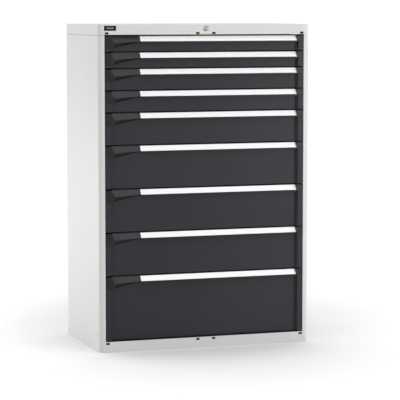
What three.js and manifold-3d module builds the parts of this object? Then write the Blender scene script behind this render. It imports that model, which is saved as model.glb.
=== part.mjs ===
// Tall steel tool cabinet: folded sheet housing, nine full-extension drawers of graded height, each
// with a label strip, a pull grip that works its latch, and a roller carriage, and one key lock that
// draws a bar across all the drawers. Millimetres, +Z up, X to the right, the front faces -Y.
// The origin is on the floor under the middle of the housing.
import * as THREE from 'three';
import { mergeVertices } from 'three/addons/utils/BufferGeometryUtils.js';
import Module from 'manifold-3d';

const wasm = await Module();
wasm.setup();

// Housing
const WIDTH = 1023;
const DEPTH = 572;
const HEIGHT = 1500;
const HOUSING_SHEET = 1.2;
const CORNER_RADIUS = 22;
const STILE = 28;
const STILE_RETURN = 24;
const CAP_SEAM_Z = 1450;
const SEAM_GAP = 1;
const TOP_RAIL_Z = 1453;
const BASE_RAIL_Z = 48;
const FLOOR_PLATE_Z = 0;
const BACK_SHEET = 1.5;
const BACK_RETURN = 41.5;
const BACK_MARGIN = 5;
const BACK_BOTTOM = 3;
const FIT = 0.3;

// Punched slots and the badge on the rails
const SLOT_SIZE = [16, 9];
const SLOT_X = [-473, -38.8, 38.8, 473];
const TOP_SLOT_RISE = 6.5;
const BASE_SLOT_DROP = 8.5;
const BADGE = { x: [-485.5, -428.5], z: [1471, 1494], depth: 0.6 };

// Drawers, from the top down
const FRONT_HEIGHTS = [75, 75, 100, 100, 150, 200, 200, 200, 300];
const FIRST_CELL_Z = 50.5;
const FRONT_SHEET = 1.5;
const FRONT_SETBACK = 2;
const FRONT_HALF = 480;
const FLANGE = 22.5;
const SLOPE = 10.5;
const RECESS = 16;
const FRONT_RETURN = 22;
const FRONT_EDGE_GAP = 2;
const FOLD = 10;

const TRAY_INNER_HALF = 459;
const TRAY_SHEET = 1.5;
const TRAY_FRONT = -250;
const TRAY_REAR = 212;
const TRAY_FLOOR_RISE = 6;
const TRAY_TOP_DROP = 19;
const EAR_TOP_DROP = 5;

// Label strip and the sloping sheet that carries it, measured down from the strip's top edge
const STRIP_TOP_DROP = 4;
const STRIP_SPAN = [-312.5, 457];
const STRIP_FALL = 23;
const STRIP_REACH = 15.4;
const STRIP_SHEET = 1.2;
const HANDLE_SHEET = 1.5;
const LIP = 1.4;

// Grip: a tapered shell with an end block, turning on a pin behind its top edge
const GRIP_SPAN = [-449, -314.6];
const GRIP_BLOCK = { left: -480, bottom: -56, top: -0.5 };
const GRIP_REAR_GAP = 0.3;
const PIVOT = { y: -263, drop: -5 };
const PIN_RADIUS = 2.25;
const PIN_CLEARANCE = 0.5;
const ARM_SPAN = [-481, -474];
const HOOK_Y = [-230, -224];
const CATCH_Y = [-240, -232];
const CATCH_DROP = [-10, -4];

// Runners
const RAIL_CENTRE_RISE = 20;
const RAIL_HALF_OUTER = 12;
const RAIL_HALF_INNER = 10;
const RAIL_SHEET = 1.5;
const DRAWER_RAIL_TIP = 470.5;
const FIXED_RAIL = { tip: 475, web: 484.5, front: -244, rear: 222 };
const PLATE = { inner: 471.5, outer: 474, half: 9, front: -240, rear: 220 };
const ROLLER_RADIUS = 8.6;
const ROLLER_REACH = [463, 482.3];
const DRAWER_ROLLERS_Y = [-228, -60];
const FIXED_ROLLERS_Y = [30, 205];
const ROLLER_STEPS = 10;
const TIE_FRONT = 216;
const UPRIGHT = { inner: 485.5, sheet: 2, depth: 28, bottom: 6, top: 1446 };
const UPRIGHT_FRONTS = [-254, 190];

// Lock
const LOCK_Z = 1480.5;
const LOCK_RING_RADIUS = 12;
const BARREL_RADIUS = 9.5;
const CAM_RADIUS = 9;
const CAM_FRONT = -252.5;
const LINK_Y = [-248.5, -246];
const LINK_Z = [1477.5, 1495];
const LINK_LEFT = -4;
const LINK_HEAD_X = [478, 500];
const LINK_HEAD_BOTTOM = 1472.5;
const HANGER_X = [150, 380];
const SLIDING_FIT = 0.7;
const SMALL_PIN = 2;
const BAR_TRAVEL = 2 * CAM_RADIUS * Math.SQRT1_2;
const BAR = { x: [501.7, 504.2], y: [-222, -198], z: [40, 1484] };
const BAR_PIN = { x: 490, z: 1479 };
const TAB = { lockedTip: 476.5, y: [-214, -204], rise: [27, 33] };
const LUG = { y: [-200, -188], rise: [26, 34] };
const GUIDE_CELLS = [0, 4, 8];
const GUIDE_RISE = 48;
const GUIDE_HALF_HEIGHT = 9;

const ROUND_STEPS = 16;
const SMALL_STEPS = 12;
const FRONT_Y = -DEPTH / 2;
const HALF = WIDTH / 2;
const OPENING_HALF = HALF - STILE;

const COLOURS = {
  housing: [0xd6d6d2, 0.5, 0.1],
  front: [0x35373b, 0.55, 0.1],
  strip: [0xf4f4f1, 0.45, 0],
  grip: [0x1c1c1d, 0.5, 0],
  steel: [0xaeb1b4, 0.4, 0.8],
  lock: [0xc4c6c8, 0.25, 1],
  badge: [0x141414, 0.35, 0],
};

// ---- Solids ----

function toSolid(geometry) {
  geometry.deleteAttribute('normal');
  geometry.deleteAttribute('uv');
  const merged = mergeVertices(geometry, 1e-4);
  const vertProperties = new Float32Array(merged.attributes.position.array);
  const triVerts = new Uint32Array(merged.index.array);
  return new wasm.Manifold(new wasm.Mesh({ numProp: 3, vertProperties, triVerts }));
}

function toGeometry(solid) {
  const mesh = solid.getMesh();
  const geometry = new THREE.BufferGeometry();
  geometry.setAttribute('position', new THREE.BufferAttribute(new Float32Array(mesh.vertProperties), 3));
  geometry.setIndex(new THREE.BufferAttribute(new Uint32Array(mesh.triVerts), 1));
  return geometry;
}

function join(first, ...others) {
  return others.reduce((solid, other) => solid.add(other), first);
}

function cut(first, ...others) {
  return others.reduce((solid, other) => solid.subtract(other), first);
}

function box([x0, x1], [y0, y1], [z0, z1]) {
  const geometry = new THREE.BoxGeometry(x1 - x0, y1 - y0, z1 - z0);
  geometry.translate((x0 + x1) / 2, (y0 + y1) / 2, (z0 + z1) / 2);
  return toSolid(geometry);
}

function mirrorSpan([a, b], sign) {
  return sign > 0 ? [a, b] : [-b, -a];
}

function extrude(outline, length) {
  const shape = new THREE.Shape(outline.map(([u, v]) => new THREE.Vector2(u, v)));
  return new THREE.ExtrudeGeometry(shape, { depth: length, bevelEnabled: false });
}

// Outline points are [y, z] and the solid runs along X.
function alongX(outline, [x0, x1]) {
  const geometry = extrude(outline, x1 - x0);
  geometry.applyMatrix4(new THREE.Matrix4().set(0, 0, 1, x0, 1, 0, 0, 0, 0, 1, 0, 0, 0, 0, 0, 1));
  return toSolid(geometry);
}

// Outline points are [x, z] and the solid runs along Y.
function alongY(outline, [y0, y1]) {
  const geometry = extrude(outline, y1 - y0);
  geometry.applyMatrix4(new THREE.Matrix4().set(1, 0, 0, 0, 0, 0, -1, y1, 0, 1, 0, 0, 0, 0, 0, 1));
  return toSolid(geometry);
}

// Outline points are [x, y] and the solid runs along Z.
function alongZ(outline, [z0, z1]) {
  const geometry = extrude(outline, z1 - z0);
  geometry.translate(0, 0, z0);
  return toSolid(geometry);
}

function rodAlongX(radius, [x0, x1], y, z, steps = ROUND_STEPS) {
  const geometry = new THREE.CylinderGeometry(radius, radius, x1 - x0, steps);
  geometry.rotateZ(Math.PI / 2);
  geometry.translate((x0 + x1) / 2, y, z);
  return toSolid(geometry);
}

function rodAlongY(radius, [y0, y1], x, z, steps = ROUND_STEPS) {
  const geometry = new THREE.CylinderGeometry(radius, radius, y1 - y0, steps);
  geometry.translate(x, (y0 + y1) / 2, z);
  return toSolid(geometry);
}

// A solid between two outlines of [y, z] points with the same count, at two places along X.
function loft(leftOutline, rightOutline, [x0, x1]) {
  const count = leftOutline.length;
  const rings = [...leftOutline.map((p) => [x0, ...p]), ...rightOutline.map((p) => [x1, ...p])];
  const faces = [];
  for (let i = 0; i < count; i += 1) {
    const next = (i + 1) % count;
    faces.push([i, next, next + count], [i, next + count, i + count]);
  }
  for (let i = 1; i < count - 1; i += 1) {
    faces.push([0, i + 1, i], [count, count + i, count + i + 1]);
  }
  const mesh = { numProp: 3, vertProperties: new Float32Array(rings.flat()) };
  mesh.triVerts = new Uint32Array(faces.flat());
  return new wasm.Manifold(new wasm.Mesh(mesh));
}

// The outline of a folded sheet: the path is its outer face, and its thickness lies to the left.
function folded(path, thickness) {
  const points = path.map(([u, v]) => new THREE.Vector2(u, v));
  const normals = points.slice(1).map((point, i) => {
    const along = point.clone().sub(points[i]).normalize();
    return new THREE.Vector2(-along.y, along.x);
  });
  const inner = points.map((point, i) => {
    const before = normals[Math.max(i - 1, 0)];
    const after = normals[Math.min(i, normals.length - 1)];
    const mitre = before.clone().add(after).normalize();
    return point.clone().addScaledVector(mitre, thickness / mitre.dot(before));
  });
  return [...points, ...inner.reverse()].map((point) => [point.x, point.y]);
}

function arc([cx, cy], radius, fromDegrees, toDegrees, steps = 6) {
  return Array.from({ length: steps + 1 }, (_, i) => {
    const angle = THREE.MathUtils.degToRad(fromDegrees + ((toDegrees - fromDegrees) * i) / steps);
    return [cx + radius * Math.cos(angle), cy + radius * Math.sin(angle)];
  });
}

// ---- Housing ----

function roundedFrontOutline(half, front, rear, radius) {
  return [
    ...arc([-half + radius, front + radius], radius, 180, 270),
    ...arc([half - radius, front + radius], radius, 270, 360),
    [half, rear],
    [-half, rear],
  ];
}

function sidePanel(sign) {
  const corner = [HALF - CORNER_RADIUS, FRONT_Y + CORNER_RADIUS];
  const path = [
    [OPENING_HALF, FRONT_Y + STILE_RETURN],
    [OPENING_HALF, FRONT_Y],
    ...arc(corner, CORNER_RADIUS, 270, 360),
    [HALF, -FRONT_Y],
    [HALF - BACK_RETURN, -FRONT_Y],
  ];
  const outline = folded(path, HOUSING_SHEET).map(([x, y]) => [x * sign, y]);
  return alongZ(outline, [0, CAP_SEAM_Z - SEAM_GAP]);
}

function backPanel() {
  const rear = -FRONT_Y - HOUSING_SHEET - FIT;
  const half = HALF - HOUSING_SHEET - BACK_MARGIN;
  return box([-half, half], [rear - BACK_SHEET, rear], [BACK_BOTTOM, CAP_SEAM_Z - SEAM_GAP]);
}

// Rectangular slots in a rail: a pair near the middle and one at each end.
function railSlots(centreZ) {
  const [halfLength, halfHeight] = SLOT_SIZE.map((size) => size / 2);
  const z = [centreZ - halfHeight, centreZ + halfHeight];
  return SLOT_X.map((x) => box([x - halfLength, x + halfLength], [FRONT_Y - 1, FRONT_Y + 5], z));
}

// The floor plate fills the housing's outline and is notched round the stiles' returns.
function basePan() {
  const half = OPENING_HALF - FIT;
  const edge = HOUSING_SHEET + FIT;
  const rear = -FRONT_Y - HOUSING_SHEET - BACK_SHEET - 2 * FIT;
  const plateZ = [FLOOR_PLATE_Z, FLOOR_PLATE_Z + HOUSING_SHEET];
  const rail = box([-half, half], [FRONT_Y, FRONT_Y + HOUSING_SHEET], [0, BASE_RAIL_Z]);
  const railFold = box([-half, half], [FRONT_Y, FRONT_Y + STILE_RETURN],
    [BASE_RAIL_Z - HOUSING_SHEET, BASE_RAIL_Z]);
  const outline = roundedFrontOutline(HALF - edge, FRONT_Y + edge, rear, CORNER_RADIUS - edge);
  const notches = [-1, 1].map((sign) => box(mirrorSpan([half, OPENING_HALF + edge], sign),
    [FRONT_Y, FRONT_Y + STILE_RETURN + FIT], [plateZ[0] - 1, plateZ[1] + 1]));
  const plate = cut(alongZ(outline, plateZ), ...notches);
  const frontPlate = box([-half, half], [FRONT_Y, FRONT_Y + STILE_RETURN], plateZ);
  return cut(join(rail, railFold, plate, frontPlate), ...railSlots(BASE_RAIL_Z - BASE_SLOT_DROP));
}

// A closed hanger under the top sheet that the lock link slides through.
function linkHanger(x) {
  const half = 4;
  const wall = 1.5;
  const inY = [LINK_Y[0] - SLIDING_FIT, LINK_Y[1] + SLIDING_FIT];
  const inZ = [LINK_Z[0] - SLIDING_FIT, LINK_Z[1] + SLIDING_FIT];
  const outer = box([x - half, x + half], [inY[0] - wall, inY[1] + wall],
    [inZ[0] - wall, HEIGHT - HOUSING_SHEET / 2]);
  const inner = box([x - half - 1, x + half + 1], inY, inZ);
  return cut(outer, inner);
}

function topCover() {
  const outer = alongZ(roundedFrontOutline(HALF, FRONT_Y, -FRONT_Y, CORNER_RADIUS), [CAP_SEAM_Z, HEIGHT]);
  const hollow = roundedFrontOutline(HALF - HOUSING_SHEET, FRONT_Y + HOUSING_SHEET,
    -FRONT_Y - HOUSING_SHEET, CORNER_RADIUS - HOUSING_SHEET);
  const inner = alongZ(hollow, [CAP_SEAM_Z - 1, HEIGHT - HOUSING_SHEET]);
  const opening = box([-OPENING_HALF, OPENING_HALF], [FRONT_Y - 1, FRONT_Y + STILE_RETURN + 1],
    [CAP_SEAM_Z - 1, TOP_RAIL_Z]);
  const railFold = box([-OPENING_HALF - 1, OPENING_HALF + 1], [FRONT_Y + 0.5, FRONT_Y + STILE_RETURN],
    [TOP_RAIL_Z, TOP_RAIL_Z + HOUSING_SHEET]);
  const stileReturns = [-1, 1].map((sign) => {
    const x = mirrorSpan([OPENING_HALF, OPENING_HALF + HOUSING_SHEET], sign);
    return box(x, [FRONT_Y + 0.5, FRONT_Y + STILE_RETURN], [CAP_SEAM_Z, TOP_RAIL_Z + HOUSING_SHEET]);
  });
  const shell = join(cut(outer, inner, opening), railFold, ...stileReturns, ...HANGER_X.map(linkHanger));
  const lockHole = rodAlongY(LOCK_RING_RADIUS + FIT, [FRONT_Y - 1, FRONT_Y + 4], 0, LOCK_Z);
  const badgeSeat = box([BADGE.x[0] - FIT, BADGE.x[1] + FIT],
    [FRONT_Y - 1, FRONT_Y + BADGE.depth + FIT], [BADGE.z[0] - FIT, BADGE.z[1] + FIT]);
  return cut(shell, lockHole, badgeSeat, ...railSlots(TOP_RAIL_Z + TOP_SLOT_RISE));
}

function nameBadge() {
  return box(BADGE.x, [FRONT_Y, FRONT_Y + BADGE.depth], BADGE.z);
}

// ---- Drawer layout ----

function drawerCells() {
  let top = FIRST_CELL_Z + FRONT_HEIGHTS.reduce((sum, height) => sum + height, 0);
  return FRONT_HEIGHTS.map((height, i) => {
    const cell = { number: i + 1, bottom: top - height, top };
    cell.railZ = cell.bottom + RAIL_CENTRE_RISE;
    cell.stripTop = top - STRIP_TOP_DROP;
    top -= height;
    return cell;
  });
}

// ---- Runners ----

// A C-shaped rail: its web stands at webX and its flanges reach to tipX.
function channelRail(webX, tipX, sign, railZ, span) {
  const back = webX + Math.sign(webX - tipX) * RAIL_SHEET;
  const outline = [
    [back, -RAIL_HALF_OUTER], [tipX, -RAIL_HALF_OUTER], [tipX, -RAIL_HALF_INNER], [webX, -RAIL_HALF_INNER],
    [webX, RAIL_HALF_INNER], [tipX, RAIL_HALF_INNER], [tipX, RAIL_HALF_OUTER], [back, RAIL_HALF_OUTER],
  ];
  return alongY(outline.map(([x, z]) => [x * sign, z + railZ]), span);
}

function upright(sign, front) {
  const outerX = HALF - HOUSING_SHEET - FIT;
  const rear = front + UPRIGHT.depth;
  const path = [[outerX, rear], [UPRIGHT.inner, rear], [UPRIGHT.inner, front], [outerX, front]];
  const outline = folded(path, UPRIGHT.sheet).map(([x, y]) => [x * sign, y]);
  return alongZ(outline, [UPRIGHT.bottom, UPRIGHT.top]);
}

// Guides hold the lock bar behind the front upright and leave it room to slide sideways.
function barGuides(cells) {
  const outerX = HALF - HOUSING_SHEET - FIT;
  const rear = BAR.y[1] + 3;
  const depth = [UPRIGHT_FRONTS[0] + UPRIGHT.depth - UPRIGHT.sheet, rear];
  const guides = GUIDE_CELLS.map((i) => {
    const centre = cells[i].railZ + GUIDE_RISE;
    const z = [centre - GUIDE_HALF_HEIGHT, centre + GUIDE_HALF_HEIGHT];
    const plate = box([BAR.x[1] + 1, outerX], depth, z);
    const finger = box([UPRIGHT.inner + 2, BAR.x[1] + 2], [rear - 1.8, rear], z);
    return join(plate, finger);
  });
  const footTop = BAR.z[0] - FIT;
  return join(...guides, box([UPRIGHT.inner, outerX], depth, [footTop - 2 * UPRIGHT.sheet, footTop]));
}

function runnerFrame(sign, cells) {
  const uprights = UPRIGHT_FRONTS.map((front) => upright(sign, front));
  const rails = cells.map((cell) => channelRail(FIXED_RAIL.web, FIXED_RAIL.tip, sign, cell.railZ,
    [FIXED_RAIL.front, FIXED_RAIL.rear]));
  const catches = cells.map((cell) => box([-UPRIGHT.inner - 1, ARM_SPAN[1] + 1], CATCH_Y,
    CATCH_DROP.map((drop) => cell.stripTop + drop)));
  return join(...uprights, ...rails, ...(sign < 0 ? catches : [barGuides(cells)]));
}

function roller(sign, span, y, railZ) {
  return rodAlongX(ROLLER_RADIUS, mirrorSpan(span, sign), y, railZ, ROLLER_STEPS);
}

function carriageSide(sign, railZ) {
  const overlap = 0.2;
  const plate = box(mirrorSpan([PLATE.inner, PLATE.outer], sign), [PLATE.front, PLATE.rear],
    [railZ - PLATE.half, railZ + PLATE.half]);
  const inSpan = [ROLLER_REACH[0], PLATE.inner + overlap];
  const outSpan = [PLATE.outer - overlap, ROLLER_REACH[1]];
  const inward = DRAWER_ROLLERS_Y.map((y) => roller(sign, inSpan, y, railZ));
  const outward = FIXED_ROLLERS_Y.map((y) => roller(sign, outSpan, y, railZ));
  return join(plate, ...inward, ...outward);
}

function carriage(cell) {
  const tie = box([-PLATE.outer + 1, PLATE.outer - 1], [TIE_FRONT, PLATE.rear],
    [cell.railZ - PLATE.half + 1, cell.railZ + PLATE.half - 1]);
  return join(carriageSide(-1, cell.railZ), carriageSide(1, cell.railZ), tie);
}

// ---- Drawers ----

const FRONT_FACE_Y = FRONT_Y + FRONT_SETBACK;
const PANEL_Y = FRONT_FACE_Y + RECESS;
const FLANGE_EDGE = FRONT_HALF - FLANGE;
const PANEL_HALF = FLANGE_EDGE - SLOPE;

function tray(cell) {
  const outerHalf = TRAY_INNER_HALF + TRAY_SHEET;
  const bottom = cell.bottom + TRAY_FLOOR_RISE;
  const top = cell.top - TRAY_TOP_DROP;
  const outer = box([-outerHalf, outerHalf], [TRAY_FRONT, TRAY_REAR], [bottom, top]);
  const inner = box([-TRAY_INNER_HALF, TRAY_INNER_HALF], [TRAY_FRONT + TRAY_SHEET, TRAY_REAR - TRAY_SHEET],
    [bottom + TRAY_SHEET, top + 1]);
  const earFront = PANEL_Y + FRONT_SHEET + FIT;
  const pinHole = rodAlongX(PIN_RADIUS + PIN_CLEARANCE, [-outerHalf - 1, -TRAY_INNER_HALF + 1],
    PIVOT.y, cell.stripTop + PIVOT.drop);
  const sides = [-1, 1].map((sign) => {
    const ear = box(mirrorSpan([TRAY_INNER_HALF, outerHalf], sign), [earFront, TRAY_FRONT + 1],
      [bottom, cell.top - EAR_TOP_DROP]);
    const rail = channelRail(outerHalf + RAIL_SHEET, DRAWER_RAIL_TIP, sign, cell.railZ,
      [TRAY_FRONT, TRAY_REAR]);
    return join(ear, rail);
  });
  const lug = box([outerHalf - 0.5, FRONT_HALF + 1], LUG.y, LUG.rise.map((rise) => cell.railZ + rise));
  return cut(join(cut(outer, inner), ...sides, lug), pinHole);
}

// The strip's outer face runs from its top rear edge down and forward by STRIP_REACH and STRIP_FALL.
function stripLayers(stripTop) {
  const start = new THREE.Vector2(PANEL_Y - 1.35, stripTop - 0.3);
  const along = new THREE.Vector2(-STRIP_REACH, -STRIP_FALL);
  const length = along.length();
  along.normalize();
  const out = new THREE.Vector2(along.y, -along.x);
  return (distance, depth) => {
    const point = start.clone().addScaledVector(along, distance * length).addScaledVector(out, -depth);
    return [point.x, point.y];
  };
}

function handleSheet(cell) {
  const at = stripLayers(cell.stripTop);
  const outer = STRIP_SHEET + FIT;
  const inner = outer + HANDLE_SHEET;
  const lipStart = 1.015;
  const lipEnd = lipStart + LIP / Math.hypot(STRIP_REACH, STRIP_FALL);
  const outline = [
    at(0, outer), at(0, inner), at(lipEnd, inner), at(lipEnd, 0), at(lipStart, 0), at(lipStart, outer),
  ];
  return alongX(outline, [STRIP_SPAN[0] - 1, STRIP_SPAN[1]]);
}

function labelStrip(cell) {
  const at = stripLayers(cell.stripTop);
  const outline = [at(0, 0), at(0, STRIP_SHEET), at(1, STRIP_SHEET), at(1, 0)];
  const clear = 0.5;
  const slope = [
    [PANEL_HALF - clear, PANEL_Y + 5], [PANEL_HALF - clear, PANEL_Y], [FLANGE_EDGE - clear, FRONT_FACE_Y],
    [FLANGE_EDGE - clear, FRONT_Y - 5], [FRONT_HALF + 5, FRONT_Y - 5], [FRONT_HALF + 5, PANEL_Y + 5],
  ];
  const sideWall = alongZ(slope, [cell.bottom, cell.top]);
  return cut(alongX(outline, STRIP_SPAN), sideWall);
}

function drawerFront(cell) {
  const rear = FRONT_FACE_Y + FRONT_RETURN;
  const path = [
    [-FRONT_HALF, rear], [-FRONT_HALF, FRONT_FACE_Y], [-FLANGE_EDGE, FRONT_FACE_Y], [-PANEL_HALF, PANEL_Y],
    [PANEL_HALF, PANEL_Y], [FLANGE_EDGE, FRONT_FACE_Y], [FRONT_HALF, FRONT_FACE_Y], [FRONT_HALF, rear],
  ];
  const z = [cell.bottom + FRONT_EDGE_GAP, cell.top - FRONT_EDGE_GAP];
  const sheet = alongZ(folded(path, FRONT_SHEET), z);
  const foldHalf = TRAY_INNER_HALF - 3;
  const foldY = [PANEL_Y + FRONT_SHEET / 2, PANEL_Y + FRONT_SHEET + FOLD];
  const folds = [[z[0], z[0] + FRONT_SHEET], [z[1] - FRONT_SHEET, z[1]]].map((span) => {
    return box([-foldHalf, foldHalf], foldY, span);
  });
  const notch = box([-FRONT_HALF - 1, -PANEL_HALF + FIT], [FRONT_Y - 1, TRAY_FRONT],
    [cell.stripTop + GRIP_BLOCK.bottom - FIT, cell.top + 1]);
  return cut(join(sheet, ...folds, handleSheet(cell)), notch);
}

// ---- Grip ----

// The shell's outlines at its left and right ends, as [y, drop] below the strip's top edge.
function gripShell(stripTop) {
  const rear = PANEL_Y - GRIP_REAR_GAP;
  const relief = 1.3;
  const place = (outline) => outline.map(([y, drop]) => [y, stripTop + drop]);
  const left = place([[rear - relief, -0.5], [FRONT_Y + 1, -32], [rear, GRIP_BLOCK.bottom], [rear, -5]]);
  const right = place([[rear - relief, -0.5], [FRONT_Y + 1.5, -24], [rear, -27.5], [rear, -5]]);
  const open = PANEL_Y + 1;
  const hollowLeft = place([[open, -8], [FRONT_Y + 4.5, -32], [open, -53]]);
  const hollowRight = place([[open, -6], [FRONT_Y + 5.5, -22.6], [open, -24.6]]);
  const hollow = loft(hollowLeft, hollowRight, [GRIP_SPAN[0] + 2, GRIP_SPAN[1] - 2]);
  const front = FRONT_Y - 1;
  const windowLeft = place([[front, -40], [front, -53.5], [open, -53.5], [open, -40]]);
  const windowRight = place([[front, -29], [front, -35], [open, -35], [open, -29]]);
  const fingerWindow = loft(windowLeft, windowRight, [GRIP_SPAN[0] + 13, GRIP_SPAN[1] - 40]);
  return cut(loft(left, right, GRIP_SPAN), hollow, fingerWindow);
}

function grip(cell) {
  const drop = (from, to) => [cell.stripTop + from, cell.stripTop + to];
  const shell = gripShell(cell.stripTop);
  const block = box([GRIP_BLOCK.left, GRIP_SPAN[0] + 0.5], [FRONT_Y + 1, PANEL_Y - 0.5],
    drop(GRIP_BLOCK.bottom, GRIP_BLOCK.top));
  const boss = box(ARM_SPAN, [FRONT_Y + 1, PIVOT.y + 11], drop(-20, -1));
  const arm = box(ARM_SPAN, [PIVOT.y + 10, HOOK_Y[1]], drop(-18, -12));
  const hook = box(ARM_SPAN, HOOK_Y, drop(-13, -5));
  const pin = rodAlongX(PIN_RADIUS, [ARM_SPAN[1] - 1, -TRAY_INNER_HALF + 5], PIVOT.y,
    cell.stripTop + PIVOT.drop);
  return join(shell, block, boss, arm, hook, pin);
}

// ---- Lock ----

function lockCase() {
  const half = 16;
  const bodyY = [FRONT_Y + HOUSING_SHEET + FIT, CAM_FRONT - 0.5];
  const body = box([-half, half], bodyY, [LOCK_Z - half + 1, LOCK_Z + half]);
  return cut(body, rodAlongY(BARREL_RADIUS + 0.4, [FRONT_Y, CAM_FRONT + 1], 0, LOCK_Z));
}

function lockRing() {
  const y = [FRONT_Y, FRONT_Y + HOUSING_SHEET];
  const bore = rodAlongY(BARREL_RADIUS + 0.4, [FRONT_Y - 1, FRONT_Y + 3], 0, LOCK_Z);
  return cut(rodAlongY(LOCK_RING_RADIUS, y, 0, LOCK_Z), bore);
}

function lockBarrel() {
  const body = rodAlongY(BARREL_RADIUS, [FRONT_Y + 0.3, CAM_FRONT + 0.2], 0, LOCK_Z);
  const keyway = box([-1.2, 1.2], [FRONT_Y - 1, FRONT_Y + 5], [LOCK_Z - 4.5, LOCK_Z + 4.5]);
  const cam = rodAlongY(CAM_RADIUS + 3, [CAM_FRONT, LINK_Y[0] - 0.6], 0, LOCK_Z);
  const offset = CAM_RADIUS * Math.SQRT1_2;
  const pin = rodAlongY(SMALL_PIN, [LINK_Y[0] - 1, LINK_Y[1] + 1.5], offset, LOCK_Z + offset, SMALL_STEPS);
  return join(cut(body, keyway), cam, pin);
}

// The link from the cam to the bar: the cam's pin draws it sideways through an upright slot.
function lockLink() {
  const reach = SMALL_PIN + SLIDING_FIT;
  const depth = [LINK_Y[0] - 1, LINK_Y[1] + 1];
  const pinX = CAM_RADIUS * Math.SQRT1_2;
  const slotZ = [LOCK_Z + CAM_RADIUS * Math.SQRT1_2 - reach, LOCK_Z + CAM_RADIUS + reach];
  const plate = box([LINK_LEFT, LINK_HEAD_X[0] + 1], LINK_Y, LINK_Z);
  const head = box(LINK_HEAD_X, LINK_Y, [LINK_HEAD_BOTTOM, LINK_Z[1]]);
  const camSlot = box([pinX - reach, pinX + reach], depth, slotZ);
  const rivetHole = rodAlongY(SMALL_PIN + 0.05, depth, BAR_PIN.x, BAR_PIN.z, SMALL_STEPS);
  return cut(join(plate, head), camSlot, rivetHole);
}

function lockBar(cells) {
  const strip = box(BAR.x, BAR.y, BAR.z);
  const tabs = cells.map((cell) => box([TAB.lockedTip + BAR_TRAVEL, BAR.x[0] + 0.5], TAB.y,
    TAB.rise.map((rise) => cell.railZ + rise)));
  const head = box([BAR_PIN.x - 4, BAR.x[0] + 0.5], [BAR.y[0], BAR.y[0] + 2.5],
    [BAR_PIN.z - 5, BAR_PIN.z + 5]);
  const rivet = rodAlongY(SMALL_PIN, [LINK_Y[0] - 1.5, BAR.y[0] + 1], BAR_PIN.x, BAR_PIN.z, SMALL_STEPS);
  return join(strip, ...tabs, head, rivet);
}

// ---- Assembly ----

const group = new THREE.Group();

function addPart(name, solid, finish) {
  const [color, roughness, metalness] = COLOURS[finish];
  const material = new THREE.MeshStandardMaterial({ color, roughness, metalness });
  const mesh = new THREE.Mesh(toGeometry(solid), material);
  mesh.name = name;
  group.add(mesh);
}

const cells = drawerCells();

addPart('left_side', sidePanel(-1), 'housing');
addPart('right_side', sidePanel(1), 'housing');
addPart('back_panel', backPanel(), 'housing');
addPart('base_pan', basePan(), 'housing');
addPart('top_cover', topCover(), 'housing');
addPart('name_badge', nameBadge(), 'badge');
addPart('left_runner_frame', runnerFrame(-1, cells), 'steel');
addPart('right_runner_frame', runnerFrame(1, cells), 'steel');
addPart('lock_case', lockCase(), 'steel');
addPart('lock_ring', lockRing(), 'lock');
addPart('lock_barrel', lockBarrel(), 'lock');
addPart('lock_link', lockLink(), 'steel');
addPart('lock_bar', lockBar(cells), 'steel');

for (const cell of cells) {
  const name = `drawer_${cell.number}`;
  addPart(`${name}_tray`, tray(cell), 'front');
  addPart(`${name}_front`, drawerFront(cell), 'front');
  addPart(`${name}_label_strip`, labelStrip(cell), 'strip');
  addPart(`${name}_grip`, grip(cell), 'grip');
  addPart(`${name}_carriage`, carriage(cell), 'steel');
}

export default group;
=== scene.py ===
"""Looks for the tall drawer cabinet: materials, fine edges, and small pieces that the frame lacks."""

import math

import bmesh
import bpy
from mathutils import Euler, Matrix, Vector


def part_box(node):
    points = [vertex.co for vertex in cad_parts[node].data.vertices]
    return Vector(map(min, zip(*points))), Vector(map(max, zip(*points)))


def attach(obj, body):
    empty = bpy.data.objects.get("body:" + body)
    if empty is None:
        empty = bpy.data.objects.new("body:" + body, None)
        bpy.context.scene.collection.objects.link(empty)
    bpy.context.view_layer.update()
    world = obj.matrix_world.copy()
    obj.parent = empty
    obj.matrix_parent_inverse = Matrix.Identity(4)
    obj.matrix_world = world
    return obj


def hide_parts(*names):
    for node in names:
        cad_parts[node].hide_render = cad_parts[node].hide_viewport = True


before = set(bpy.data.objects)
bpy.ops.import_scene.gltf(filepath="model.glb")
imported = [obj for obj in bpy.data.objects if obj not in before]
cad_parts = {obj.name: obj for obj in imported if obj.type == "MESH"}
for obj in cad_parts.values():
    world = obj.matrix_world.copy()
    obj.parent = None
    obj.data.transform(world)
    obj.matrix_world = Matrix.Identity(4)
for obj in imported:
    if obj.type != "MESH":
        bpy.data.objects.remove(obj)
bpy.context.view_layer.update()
MM = 0.001
DRAWERS = range(1, 10)

# Millimetres.
PANEL_FACE_Y = -268.0
PULL_NOSE_Y = -285.0
GRIP_BLOCK_RIGHT = -448.5
GRIP_RIGHT = -314.6
GRIP_CUT_Y = -268.2
SCOOP_DEPTH = 2.2
END_CAP_LEFT = 449.5
# The pull's black lip and top bead are partly real edges of the pull and partly painted shade under and above
# the label strip.
LIP_HEIGHT = 6.5
CAP_FACE_Y = (-285.2, -285.85)
LIP_Y = (-284.9, -283.3)
BEAD_BACK_Y = -269.6
RAIL_SLOT_X = (-473.0, -38.8, 38.8, 473.0)
RAIL_SLOT_Z = (1459.5, 39.5)
RAIL_SLOT_HALF = (8.3, 4.8)
# The black strip of painted shade in the gap under the lowest drawer.
GAP_SHADE_X = (-480.0, 480.0)
GAP_SHADE_Y = (-283.5, -270.0)
TRAY_WALL = 1.5
TRAY_INNER_HALF = 459.0
TRAY_REAR_Y = 210.5
TRAY_MIDDLE_Y = -19
# Each row: its distance from the middle, its first roller's y, the pitch, and the rollers' width.
ROLLER_ROWS = ((467.3, -228.0, 168.0, 9.0), (478.3, 30.0, 175.0, 8.2))
# Where the sides' holes are, shown as black domes of painted shade.
SIDE_HOLE_PLACES = ((262, 23), (-236, 72))
RUNNER_SCREW_X = 484.6
RUNNER_SCREW_Y = (-240, 204)

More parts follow.
